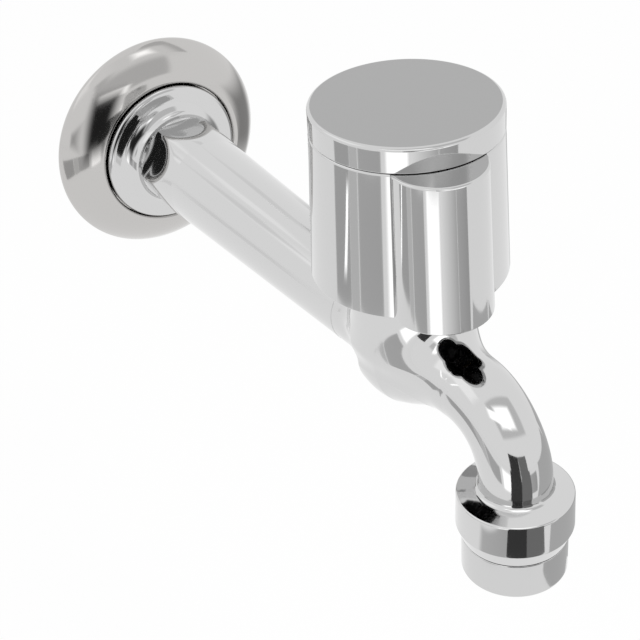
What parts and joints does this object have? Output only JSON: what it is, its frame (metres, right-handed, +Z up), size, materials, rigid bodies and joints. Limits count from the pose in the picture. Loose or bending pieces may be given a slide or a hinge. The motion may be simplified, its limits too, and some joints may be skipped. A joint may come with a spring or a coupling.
{
  "type": "wall-mounted kitchen tap",
  "caption": "Chrome wall tap with a tapered arm, a lobed quarter-turn knob over a ceramic disc valve, a short bent spout and a round aerator housing.",
  "frame": {"origin": "middle of the inlet on the wall plane", "axes": "the wall is the plane Y = 0 and the tap reaches out along -Y; +Z is up, the knob above and the outlet below the arm; +X is to the right for someone who faces the wall"},
  "size_m": [0.066, 0.2059, 0.1097],
  "materials": {
    "body_chrome": "polished chrome plate on cast brass",
    "flange_chrome": "polished chrome plate on pressed sheet",
    "knob_chrome": "polished chrome plate on a zinc casting",
    "housing_chrome": "polished chrome plate on brass",
    "valve_brass": "machined",
    "steel": "plain stainless",
    "ceramic": "lapped ceramic",
    "white_plastic": "moulded",
    "blue_plastic": "moulded",
    "rubber": "matt"
  },
  "bodies": {
    "tap": {"tap_body": "body_chrome", "wall_flange": "flange_chrome", "flange_seal": "rubber", "shoulder_gasket": "rubber", "inlet_strainer": "steel", "flow_reducer": "white_plastic", "bonnet": "valve_brass", "bonnet_oring": "rubber", "bonnet_gasket": "rubber", "seat_seal": "rubber", "fixed_disc": "ceramic", "thrust_washer": "white_plastic", "aerator_housing": "housing_chrome", "seam_ring": "rubber", "outlet_gasket": "rubber", "dome_screen": "steel", "flow_regulator": "blue_plastic", "aerator_barrel": "white_plastic", "outlet_screen": "steel"},
    "handle": {"knob_shell": "knob_chrome", "knob_cap": "knob_chrome", "spline_insert": "white_plastic", "knob_screw": "steel", "screw_washer": "steel", "spindle": "valve_brass", "spindle_orings": "rubber", "stop_washer": "steel", "spindle_clip": "steel", "moving_disc": "ceramic"}
  },
  "joints": [
    {"name": "knob_turn", "type": "hinge", "parent": "tap", "child": "handle", "pos_m": [0, -0.136, 0.05], "axis": [0, 0, 1], "range_deg": [0, 90]}
  ]
}
